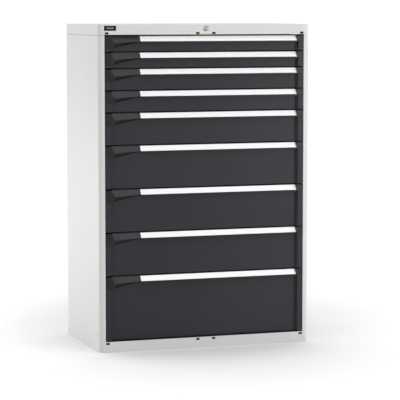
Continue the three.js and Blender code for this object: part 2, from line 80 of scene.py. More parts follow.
# Frame parts that keep their sharp edges.
SHARP_SUFFIX = "_tray"
DEFAULT_EDGE_RADIUS = 0.4

# Metres and degrees, and the lens in millimetres.
CAMERA_PLACE = (-2.862, -8.735, 1.579)
CAMERA_YAW = 18.54
CAMERA_PITCH = 5.70
CAMERA_LENS = 174.2
# The level of each side of the room.
ROOM = {"above": 1.38, "below": 0.3, "front": 0.22, "back": 1.2, "left": 0.72, "right": 0.85}
# Each lamp: its name, place, aim, width and height, and power in watts.
SOFT_BOXES = [
    ("front_top_box", (1.6, -4.2, 5.4), (0.0, 0.0, 0.7), (3.2, 2.4), 22.0),
    ("left_rear_box", (-1.7, 1.4, 0.5), (-0.5, 0.35, 0.4), (0.9, 0.9), 9.0),
    ("right_front_box", (4.2, -5.0, 0.9), (0.5, -0.3, 0.3), (1.6, 1.7), 114.0),
]


# ---- Node building ----

class Wire:
    """One output socket of a node. Arithmetic on it adds Math nodes."""

    def __init__(self, maker, socket):
        self.maker = maker
        self.socket = socket

    def _math(self, operation, first, second):
        return self.maker.add("ShaderNodeMath", {"operation": operation}, {0: first, 1: second})

    def __add__(self, other):
        return self._math("ADD", self, other)

    __radd__ = __add__

    def __mul__(self, other):
        return self._math("MULTIPLY", self, other)

    __rmul__ = __mul__

    def __truediv__(self, other):
        return self._math("DIVIDE", self, other)

    def __rtruediv__(self, other):
        return self._math("DIVIDE", other, self)

    def at_most(self, other):
        return self._math("MINIMUM", self, other)

    def at_least(self, other):
        return self._math("MAXIMUM", self, other)


class Maker:
    """Adds nodes to a tree: settings first, then socket values or links."""

    def __init__(self, tree):
        self.tree = tree

    def add(self, kind, settings=None, sockets=None, out=0):
        node = self.tree.nodes.new(kind)
        for name, value in (settings or {}).items():
            if name == "stops":
                self._set_stops(node.color_ramp, value)
            else:
                setattr(node, name, value)
        for name, value in (sockets or {}).items():
            self.feed(node.inputs[name], value)
        return Wire(self, node.outputs[out]) if node.outputs else node

    def feed(self, socket, value):
        if isinstance(value, Wire):
            self.tree.links.new(value.socket, socket)
        else:
            socket.default_value = value

    @staticmethod
    def _set_stops(ramp, stops):
        for position, _ in stops[2:]:
            ramp.elements.new(position)
        for element, (position, level) in zip(ramp.elements, stops):
            element.position = position
            element.color = (level, level, level, 1)

    def noise(self, place, scale, detail=2.0, roughness=0.5):
        return self.add("ShaderNodeTexNoise", {}, {"Vector": place, "Scale": scale, "Detail": detail,
                                                    "Roughness": roughness})

    def ramp(self, value, stops):
        return self.add("ShaderNodeValToRGB", {"stops": stops}, {"Fac": value})

    def stretch(self, place, scale):
        return self.add("ShaderNodeMapping", {}, {"Vector": place, "Scale": scale})

    def blend(self, factor, first, second):
        node = self.tree.nodes.new("ShaderNodeMix")
        node.data_type = "RGBA"
        self.feed(node.inputs["Factor"], factor)
        colours = [s for s in node.inputs if s.type == "RGBA"]
        self.feed(colours[0], first)
        self.feed(colours[1], second)
        return Wire(self, [s for s in node.outputs if s.type == "RGBA"][0])

    def bump(self, height, strength, distance):
        return self.add("ShaderNodeBump", {}, {"Height": height, "Strength": strength, "Distance": distance})


def rgb(red, green, blue):
    return (red, green, blue, 1.0)


def new_material(name):
    material = bpy.data.materials.new(name)
    material.use_nodes = True
    material.node_tree.nodes.clear()
    maker = Maker(material.node_tree)
    place = maker.add("ShaderNodeTexCoord", {}, {}, "Object")
    return material, maker, place


def close_material(maker, **sockets):
    values = {name.replace("_", " "): value for name, value in sockets.items()}
    surface = maker.add("ShaderNodeBsdfPrincipled", {}, values)
    maker.add("ShaderNodeOutputMaterial", {}, {"Surface": surface})


# ---- Materials ----

def powder_coat(name, colour, shade, roughness, specular, grain):
    """Baked powder coat: an orange-peel skin, slow drifts of colour, and finely uneven gloss."""
    material, maker, place = new_material(name)
    skin = maker.noise(place, grain, 3.0, 0.55)
    drift = maker.noise(place, 2.3, 2.0)
    flecks = maker.ramp(maker.noise(place, 900, 1.0), [(0.62, 0.0), (0.72, 1.0)])
    base = maker.blend(maker.ramp(drift, [(0.3, 0.0), (0.7, 1.0)]), colour, shade)
    tint = tuple(c * 1.12 for c in colour[:3])
    base = maker.blend(flecks * 0.12, base, rgb(*tint))
    gloss = maker.noise(place, 34, 4.0) * 0.12 + (roughness - 0.06)
    close_material(maker, Base_Color=base, Roughness=gloss, Specular_IOR_Level=specular,
                   Normal=maker.bump(skin, 0.16, 0.0004))
    return material


def moulded_plastic(name, colour, roughness, specular):
    """Moulded plastic with a fine spark-eroded texture and faint flow marks."""
    material, maker, place = new_material(name)
    grain = maker.add("ShaderNodeTexVoronoi", {}, {"Vector": place, "Scale": 1400.0})
    flow = maker.noise(maker.stretch(place, (6.0, 30.0, 30.0)), 1.0, 3.0)
    light = tuple(min(c * 1.6 + 0.004, 1.0) for c in colour[:3])
    base = maker.blend(maker.ramp(flow, [(0.35, 0.0), (0.75, 1.0)]) * 0.5, colour, rgb(*light))
    close_material(maker, Base_Color=base, Roughness=flow * 0.14 + (roughness - 0.07),
                   Specular_IOR_Level=specular, Normal=maker.bump(grain, 0.12, 0.0002))
    return material


def zinc_plate(name, colour, roughness):
    """Bright zinc plating: drawn streaks along the section, cloudy passivation and small pits."""
    material, maker, place = new_material(name)
    streaks = maker.noise(maker.stretch(place, (260.0, 9.0, 260.0)), 1.0, 3.0)
    clouds = maker.noise(place, 18, 3.0)
    pits = maker.ramp(maker.noise(place, 520, 1.0), [(0.66, 0.0), (0.74, 1.0)])
    dull = tuple(c * 0.72 for c in colour[:3])
    base = maker.blend(clouds * 0.6 + pits * 0.25, colour, rgb(*dull))
    close_material(maker, Base_Color=base, Metallic=0.9,
                   Roughness=streaks * 0.22 + clouds * 0.12 + (roughness - 0.17),
                   Normal=maker.bump(streaks, 0.08, 0.0002))
    return material


def label_card(name):
    """White card under a clear cover: paper fibres below, a smooth coat above."""
    material, maker, place = new_material(name)
    fibres = maker.noise(maker.stretch(place, (90.0, 400.0, 400.0)), 1.0, 3.0)
    cloud = maker.noise(place, 7, 2.0)
    base = maker.blend(fibres * 0.35 + cloud * 0.25, rgb(0.965, 0.965, 0.962), rgb(0.91, 0.912, 0.91))
    close_material(maker, Base_Color=base, Roughness=cloud * 0.1 + 0.34, Coat_Weight=0.3,
                   Coat_Roughness=0.12, Normal=maker.bump(fibres, 0.03, 0.0002))
    return material


def satin_metal(name, colour, roughness):
    """Turned and satin-plated metal with concentric tool marks about the lock's axis."""
    material, maker, place = new_material(name)
    low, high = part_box("lock_barrel")
    centre = (low + high) / 2
    turned = maker.add("ShaderNodeVectorMath", {"operation": "SUBTRACT"}, {0: place, 1: tuple(centre)})
    flat = maker.add("ShaderNodeVectorMath", {"operation": "MULTIPLY"}, {0: turned, 1: (1.0, 0.0, 1.0)})
    radius = maker.add("ShaderNodeVectorMath", {"operation": "LENGTH"}, {0: flat}, "Value")
    rings = maker.add("ShaderNodeMath", {"operation": "SINE"}, {0: radius * 9000.0})
    wear = maker.noise(place, 160, 3.0)
    base = maker.blend(wear * 0.5, colour, rgb(*(c * 0.8 for c in colour[:3])))
    close_material(maker, Base_Color=base, Metallic=1.0, Roughness=wear * 0.12 + (roughness - 0.06),
                   Normal=maker.bump(rings, 0.05, 0.0001))
    return material


def paint_opening_shade(name):
    """Painted shade for the inside of a punched slot or hole: near black, with uneven dust in it."""
    material, maker, place = new_material(name)
    dust = maker.noise(place, 300, 2.0)
    base = maker.blend(dust * 0.5, rgb(0.004, 0.004, 0.0045), rgb(0.012, 0.012, 0.013))
    close_material(maker, Base_Color=base, Roughness=dust * 0.2 + 0.7, Specular_IOR_Level=0.1)
    return material


HOUSING_PAINT = powder_coat("housing_paint", rgb(0.628, 0.620, 0.606), rgb(0.612, 0.606, 0.594),
                            0.46, 0.4, 620)
FRONT_PAINT = powder_coat("front_paint", rgb(0.0245, 0.0252, 0.0318), rgb(0.0285, 0.0290, 0.0358),
                          0.42, 0.28, 560)
TRAY_PAINT = powder_coat("tray_paint", rgb(0.036, 0.0365, 0.042), rgb(0.040, 0.040, 0.046), 0.5, 0.3, 480)
GRIP_PLASTIC = moulded_plastic("grip_plastic", rgb(0.0085, 0.0085, 0.0088), 0.36, 0.5)
CLEAR_EDGE = moulded_plastic("clear_edge", rgb(0.86, 0.865, 0.865), 0.25, 0.5)
ZINC = zinc_plate("zinc", rgb(0.6, 0.61, 0.62), 0.38)
BEARING_STEEL = zinc_plate("bearing_steel", rgb(0.42, 0.43, 0.44), 0.3)
LABEL = label_card("label")
LOCK_METAL = satin_metal("lock_metal", rgb(0.62, 0.62, 0.61), 0.3)
BADGE_PLASTIC = moulded_plastic("badge_plastic", rgb(0.002, 0.002, 0.002), 0.5, 0.12)
BADGE_FOIL = satin_metal("badge_foil", rgb(0.7, 0.7, 0.7), 0.35)
PAINTED_OPENING_SHADE = paint_opening_shade("painted_opening_shade")

NODE_MATERIALS = {
    "left_side": HOUSING_PAINT, "right_side": HOUSING_PAINT, "back_panel": HOUSING_PAINT,
    "base_pan": HOUSING_PAINT, "top_cover": HOUSING_PAINT, "name_badge": BADGE_PLASTIC,
    "lock_ring": LOCK_METAL, "lock_barrel": LOCK_METAL,
}
SUFFIX_MATERIALS = {
    "_tray": TRAY_PAINT, "_front": FRONT_PAINT, "_label_strip": LABEL, "_grip": GRIP_PLASTIC,
}
EDGE_RADIUS = {"_label_strip": 0.25, "_grip": 1.6, "_front": 0.55}


def finish_for(name):
    if name in NODE_MATERIALS:
        return NODE_MATERIALS[name]
    for suffix, material in SUFFIX_MATERIALS.items():
        if name.endswith(suffix):
            return material
    return ZINC


def smooth_faces_tree():
    """Shades faces smoothly, so that rounded edges and corners don't show their facets."""
    tree = bpy.data.node_groups.new("smooth_faces", "GeometryNodeTree")
    for direction in ("INPUT", "OUTPUT"):
        tree.interface.new_socket("Geometry", in_out=direction, socket_type="NodeSocketGeometry")
    maker = Maker(tree)
    entry = tree.nodes.new("NodeGroupInput")
    smooth = maker.add("GeometryNodeSetShadeSmooth", {}, {"Geometry": Wire(maker, entry.outputs[0])})
    maker.add("NodeGroupOutput", {}, {"Geometry": smooth})
    return tree


SMOOTH_FACES = smooth_faces_tree()


def soften_edges(piece, radius_mm, segments=2):
    """Joins loose triangles into flat faces and rounds the sheared and folded edges."""
    weld = piece.modifiers.new("weld", "WELD")
    weld.merge_threshold = 0.00001
    flat = piece.modifiers.new("flat_faces", "DECIMATE")
    flat.decimate_type = "DISSOLVE"
    flat.angle_limit = math.radians(0.4)
    smooth = piece.modifiers.new("smooth", "NODES")
    smooth.node_group = SMOOTH_FACES
    bevel = piece.modifiers.new("edges", "BEVEL")
    bevel.width = radius_mm * MM
    bevel.segments = segments
    bevel.limit_method = "ANGLE"
    bevel.angle_limit = math.radians(28)
    bevel.use_clamp_overlap = False
    normals = piece.modifiers.new("face_normals", "WEIGHTED_NORMAL")
    normals.mode = "FACE_AREA"
    normals.weight = 100
    normals.keep_sharp = True


def dress_frame():
    """Gives each frame part its finish, and softens the edges of all but the trays."""
    for name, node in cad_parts.items():
        node.data.materials.clear()
        node.data.materials.append(finish_for(name))
        if name.endswith(SHARP_SUFFIX):
            continue
        radii = (r for suffix, r in EDGE_RADIUS.items() if name.endswith(suffix))
        soften_edges(node, next(radii, DEFAULT_EDGE_RADIUS))


# ---- Mesh pieces ----

def add_piece(name, mesh, material, body):
    """A finished mesh whose object sits at the origin and rides on a body."""
    mesh.materials.clear()
    mesh.materials.append(material)
    piece = bpy.data.objects.new(name, mesh)
    bpy.context.scene.collection.objects.link(piece)
    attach(piece, body)
    return piece


def joined(name, meshes):
    """One mesh from several, in their own places."""
    work = bmesh.new()
    for mesh in meshes:
        work.from_mesh(mesh)
    result = bpy.data.meshes.new(name)
    work.to_mesh(result)
    work.free()
    return result


def placed(mesh, matrix):
    """A copy of a mesh moved by a matrix, with its faces still pointing out."""
    mesh = mesh.copy()
    mesh.transform(matrix)
    if matrix.determinant() < 0:
        mesh.flip_normals()
    return mesh


def lofted(name, rings):
    """A closed solid through rings of points that all have the same count."""
    work = bmesh.new()
    rows = [[work.verts.new(point) for point in ring] for ring in rings]
    count = len(rows[0])
    for near, far in zip(rows, rows[1:]):
        for i in range(count):
            work.faces.new((near[i], near[(i + 1) % count], far[(i + 1) % count], far[i]))
    work.faces.new(rows[0])
    work.faces.new(rows[-1])
    bmesh.ops.recalc_face_normals(work, faces=work.faces)
    mesh = bpy.data.meshes.new(name)
    work.to_mesh(mesh)
    work.free()
    return mesh


def prism_along_x(name, outline, x_low, x_high):
    """A solid whose outline is (y, z) points in millimetres from low to high X."""
    return lofted(name, [[(x * MM, y * MM, z * MM) for y, z in outline] for x in (x_low, x_high)])


def rounded_box(name, low, high, radius, segments=3):
    """A box between two corners in metres, with rounded edges."""
    work = bmesh.new()
    bmesh.ops.create_cube(work, size=1.0)
    centre = (Vector(low) + Vector(high)) / 2
    size = Vector(high) - Vector(low)
    shape = Matrix.Translation(centre) @ Matrix.Diagonal((*size, 1.0))
    bmesh.ops.transform(work, matrix=shape, verts=work.verts)
    bmesh.ops.bevel(work, geom=work.edges[:], offset=radius, segments=segments, affect="EDGES", profile=0.5)
    mesh = bpy.data.meshes.new(name)
    work.to_mesh(mesh)
    work.free()
    return mesh


# ---- Geometry Nodes pieces ----

def new_tree(name, inputs):
    """A geometry tree with named inputs: name to (socket type, default)."""
    tree = bpy.data.node_groups.new(name, "GeometryNodeTree")
    tree.interface.new_socket("Geometry", in_out="OUTPUT", socket_type="NodeSocketGeometry")
    for label, (kind, value) in inputs.items():
        tree.interface.new_socket(label, in_out="INPUT", socket_type=kind).default_value = value
    maker = Maker(tree)
    entry = tree.nodes.new("NodeGroupInput")
    sockets = {label: Wire(maker, entry.outputs[label]) for label in inputs}
    return tree, maker, sockets


def end_tree(tree, maker, geometry, material):
    real = maker.add("GeometryNodeRealizeInstances", {}, {"Geometry": geometry})
    painted = maker.add("GeometryNodeSetMaterial", {}, {"Geometry": real, "Material": material})
    maker.add("NodeGroupOutput", {}, {"Geometry": painted})
    return tree


def grown(tree, values):
    """The mesh that a tree makes with these values of its named inputs."""
    holder = bpy.data.objects.new("holder", bpy.data.meshes.new("holder"))
    bpy.context.scene.collection.objects.link(holder)
    modifier = holder.modifiers.new("grow", "NODES")
    modifier.node_group = tree
    for item in tree.interface.items_tree:
        if item.in_out == "INPUT" and item.name in values:
            modifier[item.identifier] = values[item.name]
    evaluated = holder.evaluated_get(bpy.context.evaluated_depsgraph_get())
    mesh = bpy.data.meshes.new_from_object(evaluated)
    bpy.data.objects.remove(holder)
    return mesh


def slot_field_tree():
    """Thin upright boxes of painted shade on a rectangular grid in the XY plane, standing for slots, each as
    long as Slot length along Y.
    """
    tree, maker, given = new_tree("slot_field", {
        "Columns": ("NodeSocketInt", 2), "Rows": ("NodeSocketInt", 2),
        "Width": ("NodeSocketFloat", 1.0), "Height": ("NodeSocketFloat", 1.0),
        "Slot width": ("NodeSocketFloat", 0.003), "Slot length": ("NodeSocketFloat", 0.02),
        "Depth": ("NodeSocketFloat", 0.0004),
    })
    grid = maker.add("GeometryNodeMeshGrid", {}, {"Vertices X": given["Columns"], "Vertices Y": given["Rows"],
                                                 "Size X": given["Width"], "Size Y": given["Height"]})
    size = maker.add("ShaderNodeCombineXYZ", {}, {"X": given["Slot width"], "Y": given["Slot length"],
                                                 "Z": given["Depth"]})
    slot = maker.add("GeometryNodeMeshCube", {}, {"Size": size})
    copies = maker.add("GeometryNodeInstanceOnPoints", {}, {"Points": grid, "Instance": slot})
    # The slots are painted shade: black boxes rather than openings.
    return end_tree(tree, maker, copies, PAINTED_OPENING_SHADE)


def roller_tree():
    """Ball-bearing rollers in a row along Y, turned about Z: a tyre, an inner race and a rivet head."""
    tree, maker, given = new_tree("rollers", {
        "Radius": ("NodeSocketFloat", 0.0089), "Width": ("NodeSocketFloat", 0.0085),
        "Race radius": ("NodeSocketFloat", 0.0056), "Rivet radius": ("NodeSocketFloat", 0.0031),
        "Count": ("NodeSocketInt", 2), "Pitch": ("NodeSocketFloat", 0.168),
    })

    def drum(radius, depth):
        return maker.add("GeometryNodeMeshCylinder", {}, {"Vertices": 36, "Radius": radius, "Depth": depth})

    parts = [
        drum(given["Radius"], given["Width"] * 0.84),
        drum(given["Radius"] * 0.94, given["Width"] * 0.94),
        drum(given["Race radius"], given["Width"]),
        drum(given["Rivet radius"], given["Width"] * 1.06),
    ]
    bundle = tree.nodes.new("GeometryNodeJoinGeometry")
    for part in parts:
        tree.links.new(part.socket, bundle.inputs[0])
    step = maker.add("ShaderNodeCombineXYZ", {}, {"Y": given["Pitch"]})
    line = maker.add("GeometryNodeMeshLine", {}, {"Count": given["Count"], "Offset": step})
    copies = maker.add("GeometryNodeInstanceOnPoints", {}, {"Points": line,
                                                           "Instance": Wire(maker, bundle.outputs[0])})
    return end_tree(tree, maker, copies, BEARING_STEEL)


def rivet_tree(name, material):
    """Domed rivet or screw heads on a rectangular grid in the XY plane, standing up along Z."""
    tree, maker, given = new_tree(name, {
        "Columns": ("NodeSocketInt", 2), "Rows": ("NodeSocketInt", 2),
        "Width": ("NodeSocketFloat", 1.0), "Height": ("NodeSocketFloat", 1.0),
        "Radius": ("NodeSocketFloat", 0.004), "Rise": ("NodeSocketFloat", 0.0016),
    })
    grid = maker.add("GeometryNodeMeshGrid", {}, {"Vertices X": given["Columns"], "Vertices Y": given["Rows"],
                                                 "Size X": given["Width"], "Size Y": given["Height"]})
    dome = maker.add("GeometryNodeMeshUVSphere", {}, {"Segments": 14, "Rings": 8, "Radius": given["Radius"]})
    squash = given["Rise"] / given["Radius"]
    flatten = maker.add("ShaderNodeCombineXYZ", {}, {"X": 1.0, "Y": 1.0, "Z": squash})
    head = maker.add("GeometryNodeTransform", {}, {"Geometry": dome, "Scale": flatten})
    copies = maker.add("GeometryNodeInstanceOnPoints", {}, {"Points": grid, "Instance": head})
    return end_tree(tree, maker, copies, material)


SLOT_FIELD = slot_field_tree()
ROLLERS = roller_tree()
PAINTED_RIVETS = rivet_tree("painted_rivets", HOUSING_PAINT)
ZINC_RIVETS = rivet_tree("zinc_rivets", ZINC)


def slot_field(columns, rows, width, height, slot_width, slot_length, matrix):
    mesh = grown(SLOT_FIELD, {"Columns": columns, "Rows": rows, "Width": width * MM, "Height": height * MM,
                              "Slot width": slot_width * MM, "Slot length": slot_length * MM})
    return placed(mesh, matrix)


def rivets(tree, columns, rows, width, height, radius, matrix):
    mesh = grown(tree, {"Columns": columns, "Rows": rows, "Width": width * MM, "Height": height * MM,
                        "Radius": radius * MM, "Rise": radius * 0.45 * MM})
    return placed(mesh, matrix)


def at(x, y, z, turn=(0.0, 0.0, 0.0)):
    """A place in millimetres and a turn in degrees."""
    turned = Euler([math.radians(angle) for angle in turn]).to_matrix().to_4x4()
    return Matrix.Translation((x * MM, y * MM, z * MM)) @ turned


FACING_FRONT = (90.0, 0.0, 0.0)
FACING_BACK = (-90.0, 0.0, 0.0)
FACING_RIGHT = (90.0, 0.0, 90.0)
FACING_LEFT = (90.0, 0.0, -90.0)
AXLE_ALONG_X = Euler((0, math.pi / 2, 0)).to_matrix().to_4x4()


# ---- Drawers ----

def arc_points(start, end, sag, steps):
    """Points from start to end on a shallow arc that sags to the left of the way by sag."""
    along = (end[0] - start[0], end[1] - start[1])
    length = math.hypot(*along)
    aside = (-along[1] / length, along[0] / length)
    points = []
    for i in range(steps + 1):
        t = i / steps
        dip = sag * math.sin(math.pi * t)
        points.append((start[0] + along[0] * t + aside[0] * dip, start[1] + along[1] * t + aside[1] * dip))
    return points


def grip_hinge_parts(number):
    """The grip's arm, hook and pin behind the front, kept as they are in the frame."""
    work = bmesh.new()
    work.from_mesh(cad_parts[f"drawer_{number}_grip"].data)
    bmesh.ops.remove_doubles(work, verts=work.verts, dist=1e-6)
    cut = bmesh.ops.bisect_plane(work, geom=work.verts[:] + work.edges[:] + work.faces[:], clear_inner=True,
                                 plane_co=(0.0, GRIP_CUT_Y * MM, 0.0), plane_no=(0.0, 1.0, 0.0))
    edges = [e for e in cut["geom_cut"] if isinstance(e, bmesh.types.BMEdge)]
    bmesh.ops.holes_fill(work, edges=edges)
    mesh = bpy.data.meshes.new("grip_hinge_parts")
    work.to_mesh(mesh)
    work.free()
    return mesh


def pull_grip(number):
    """The moulded grip: a sloping face that narrows to the right, an end block and a scooped underside."""
    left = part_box(f"drawer_{number}_grip")[0].x / MM
    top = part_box(f"drawer_{number}_label_strip")[1].z / MM
    rings = []
    steps = 10
    for i in range(steps + 1):
        t = i / steps
        x = GRIP_BLOCK_RIGHT + (GRIP_RIGHT - GRIP_BLOCK_RIGHT) * t
        nose = (PULL_NOSE_Y + 0.5 * t, top - 32.0 + 8.0 * t)
        foot = (PANEL_FACE_Y - 0.3, top - 56.0 + 28.5 * t)
        brow = (PANEL_FACE_Y - 1.6, top - 0.5)
        scoop = arc_points(nose, foot, -SCOOP_DEPTH * (1 - t), 6)
        outline = [brow, *scoop, (PANEL_FACE_Y - 0.3, top - 5.0)]
        rings.append([(x * MM, y * MM, z * MM) for y, z in outline])
    shell = lofted("shell", rings)
    face = [(left + 0.1, top - 0.5), (GRIP_BLOCK_RIGHT - 5.0, top - 0.5),
            (GRIP_BLOCK_RIGHT + 13.5, top - 32.0), (GRIP_BLOCK_RIGHT + 12.0, top - 46.0),
            (GRIP_BLOCK_RIGHT + 7.0, top - 53.0),
            (GRIP_BLOCK_RIGHT, top - 56.0), (left + 0.1, top - 56.0)]
    block = lofted("block", [[(x * MM, y * MM, z * MM) for x, z in face]
                             for y in (PANEL_FACE_Y - 0.5, PULL_NOSE_Y)])
    whole = joined(f"pull_grip_{number}", [shell, block, grip_hinge_parts(number)])
    piece = add_piece(f"pull_grip_{number}", whole, GRIP_PLASTIC, f"grip_{number}")
    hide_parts(f"drawer_{number}_grip")
    soften_edges(piece, 0.9)


def end_cap(number):
    """The moulded block that closes the right end of the pull, from the panel out over the front's flange."""
    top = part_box(f"drawer_{number}_label_strip")[1].z / MM
    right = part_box(f"drawer_{number}_front")[1].x / MM
    outer, inner, drop, corner = right - 0.5, END_CAP_LEFT, 27.0, 2.4
    rings = []
    for y, inset in ((PANEL_FACE_Y - 0.3, 0.0), (CAP_FACE_Y[0], 0.1), (CAP_FACE_Y[1], 0.7)):
        low, high = top - drop + inset, top - 0.3 - inset
        left, far = inner + inset, outer - inset
        outline = [(left, high - 1.2), (left + 1.2, high), (far - corner, high), (far - 0.6, high - 0.6),
                   (far, high - corner), (far, low + corner), (far - 0.6, low + 0.6), (far - corner, low),
                   (left + 1.2, low), (left, low + 1.2)]
        rings.append([(x * MM, y * MM, z * MM) for x, z in outline])
    shell = lofted(f"end_cap_{number}", rings)
    return add_piece(f"pull_end_cap_{number}", shell, GRIP_PLASTIC, f"drawer_{number}")


def pull_edges_and_shade(number):
    """The black edges of the pull, partly painted shade: a lip that hangs below the label strip deepens the
    shade under it, and a bead along its top darkens the gap above.
    """
    low, high = (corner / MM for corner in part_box(f"drawer_{number}_label_strip"))
    span = (low.x, END_CAP_LEFT)
    bars = [rounded_box("lip", [span[0] * MM, LIP_Y[0] * MM, (low.z - LIP_HEIGHT) * MM],
                        [span[1] * MM, LIP_Y[1] * MM, (low.z - 0.1) * MM], 0.0004, 2),
            rounded_box("bead", [span[0] * MM, BEAD_BACK_Y * MM, (high.z + 0.2) * MM],
                        [span[1] * MM, (PANEL_FACE_Y - 0.1) * MM, (high.z + 2.2) * MM], 0.0003, 2)]
    return add_piece(f"pull_edges_and_shade_{number}", joined(f"pull_edges_and_shade_{number}", bars), GRIP_PLASTIC,
                     f"drawer_{number}")


def label_ribs(number):
    """Ribs along the top and bottom of the clear label cover."""
    low, high = (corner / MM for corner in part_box(f"drawer_{number}_label_strip"))
    start, end = (high.y - 1.1, high.z - 0.1), (low.y, low.z + 0.9)
    length = math.dist(start, end)
    along = ((end[0] - start[0]) / length, (end[1] - start[1]) / length)
    out = (along[1], -along[0])
    ribs = []
    for place, width, height in ((0.3, 1.2, 0.3), (length - 2.6, 1.2, 0.3)):
        outline = [(start[0] + along[0] * d + out[0] * h, start[1] + along[1] * d + out[1] * h)
                   for d, h in ((place, -0.2), (place + 0.2, height), (place + width - 0.2, height),
                                (place + width, -0.2))]
        ribs.append(prism_along_x("rib", outline, low.x + 0.5, high.x - 8.0))
    return add_piece(f"label_cover_ribs_{number}", joined(f"ribs_{number}", ribs), CLEAR_EDGE,
                     f"drawer_{number}")


def tray_slots(number):
    """Rows of divider slots in the tray's walls and floor, drawn as thin black boxes of painted shade."""
    low, high = (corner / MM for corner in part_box(f"drawer_{number}_tray"))
    floor = low.z + TRAY_WALL
    room = high.z - 14.0 - floor
    slot_length = min(room * 0.62, 70.0)
    middle = floor + room / 2
    lift = 0.12
    fields = [
        slot_field(18, 1, 850, 0, 3.2, slot_length, at(0, TRAY_REAR_Y - lift, middle, FACING_FRONT)),
        slot_field(9, 1, 400, 0, 3.2, slot_length,
                   at(-TRAY_INNER_HALF + lift, TRAY_MIDDLE_Y, middle, FACING_RIGHT)),
        slot_field(9, 1, 400, 0, 3.2, slot_length,
                   at(TRAY_INNER_HALF - lift, TRAY_MIDDLE_Y, middle, FACING_LEFT)),
        slot_field(18, 8, 850, 350, 3.2, 14, at(0, TRAY_MIDDLE_Y, floor + lift)),
    ]
    # Painted shade: each slot is a black box lying on the tray's surface.
    return add_piece(f"divider_slots_{number}", joined(f"slots_{number}", fields), PAINTED_OPENING_SHADE,
                     f"drawer_{number}")


def bearing_rollers(number):
    """Round bearings over the carriage's rollers, on both sides."""
    low, high = (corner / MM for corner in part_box(f"drawer_{number}_carriage"))
    rail_z = (low.z + high.z) / 2
    rows = []
    for middle, first, pitch, width in ROLLER_ROWS:
        mesh = grown(ROLLERS, {"Pitch": pitch * MM, "Width": width * MM})
        for side in (-1, 1):
            rows.append(placed(mesh, at(side * middle, first, rail_z) @ AXLE_ALONG_X))
    return add_piece(f"bearing_rollers_{number}", joined(f"rollers_{number}", rows), BEARING_STEEL,
                     f"carriage_{number}")


# ---- Housing ----

def lathed(name, profile, centre, steps=64):
    """A ring or dish turned about an axis along Y: the closed profile is (radius, y) in millimetres."""
    work = bmesh.new()
    rows = []
    for i in range(steps):
        angle = math.tau * i / steps
        rows.append([work.verts.new(((centre[0] + r * math.cos(angle)) * MM, y * MM,
                                     (centre[1] + r * math.sin(angle)) * MM)) for r, y in profile])
    for i in range(steps):
        near, far = rows[i], rows[(i + 1) % steps]
        for j in range(len(profile)):
            k = (j + 1) % len(profile)
            work.faces.new((near[j], near[k], far[k], far[j]))
    bmesh.ops.remove_doubles(work, verts=work.verts, dist=1e-7)
    bmesh.ops.recalc_face_normals(work, faces=work.faces)
    mesh = bpy.data.meshes.new(name)
    work.to_mesh(mesh)
    work.free()
    for polygon in mesh.polygons:
        polygon.use_smooth = True
    return mesh


def lock_details():
    """The turned bezel round the lock, the plug's face, and its key slot in painted shade."""
    low, high = (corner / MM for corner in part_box("lock_ring"))
    centre = ((low.x + high.x) / 2, (low.z + high.z) / 2)
    face = low.y
    bezel_profile = [(9.9, face + 0.4), (13.2, face + 0.4), (13.3, face - 0.3), (12.9, face - 1.3),
                     (12.0, face - 1.9), (11.0, face - 1.9), (10.3, face - 1.4), (9.9, face - 0.5)]
    bezel = lathed("bezel", bezel_profile, centre)
    add_piece("lock_bezel", bezel, LOCK_METAL, "housing")
    plug = lathed("plug", [(3.1, face + 0.2), (9.3, face + 0.2), (9.4, face - 0.4), (8.9, face - 0.9),
                           (3.6, face - 0.9), (3.1, face - 0.6)], centre)
    add_piece("lock_plug_face", plug, LOCK_METAL, "lock_barrel")
    # Painted shade: the key slot is a black box sunk into the plug's face.
    key_slot = rounded_box("key_slot", [(centre[0] - 1.1) * MM, (face - 0.55) * MM, (centre[1] - 4.4) * MM],
                           [(centre[0] + 1.1) * MM, (face + 0.1) * MM, (centre[1] + 4.4) * MM], 0.0003)
    add_piece("lock_key_slot", key_slot, PAINTED_OPENING_SHADE, "lock_barrel")


def badge_details():
    """A plain foil line round the blank badge and a short foil dash in its middle."""
    low, high = (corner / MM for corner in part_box("name_badge"))
    face = low.y
    line, inset, dash_half = 0.7, 1.9, (17.0, 2.2)
    x = (low.x + inset, high.x - inset)
    z = (low.z + inset, high.z - inset)
    centre = ((x[0] + x[1]) / 2, (z[0] + z[1]) / 2)
    spans = [((x[0], z[0]), (x[1], z[0] + line)), ((x[0], z[1] - line), (x[1], z[1])),
             ((x[0], z[0] + line), (x[0] + line, z[1] - line)),
             ((x[1] - line, z[0] + line), (x[1], z[1] - line)),
             ((centre[0] - dash_half[0], centre[1] - dash_half[1]),
              (centre[0] + dash_half[0], centre[1] + dash_half[1]))]
    bars = [rounded_box("bar", [a[0] * MM, (face - 0.25) * MM, a[1] * MM],
                        [b[0] * MM, (face + 0.1) * MM, b[1] * MM], 0.0001, 1) for a, b in spans]
    add_piece("badge_foil_line", joined("badge_foil_line", bars), BADGE_FOIL, "housing")


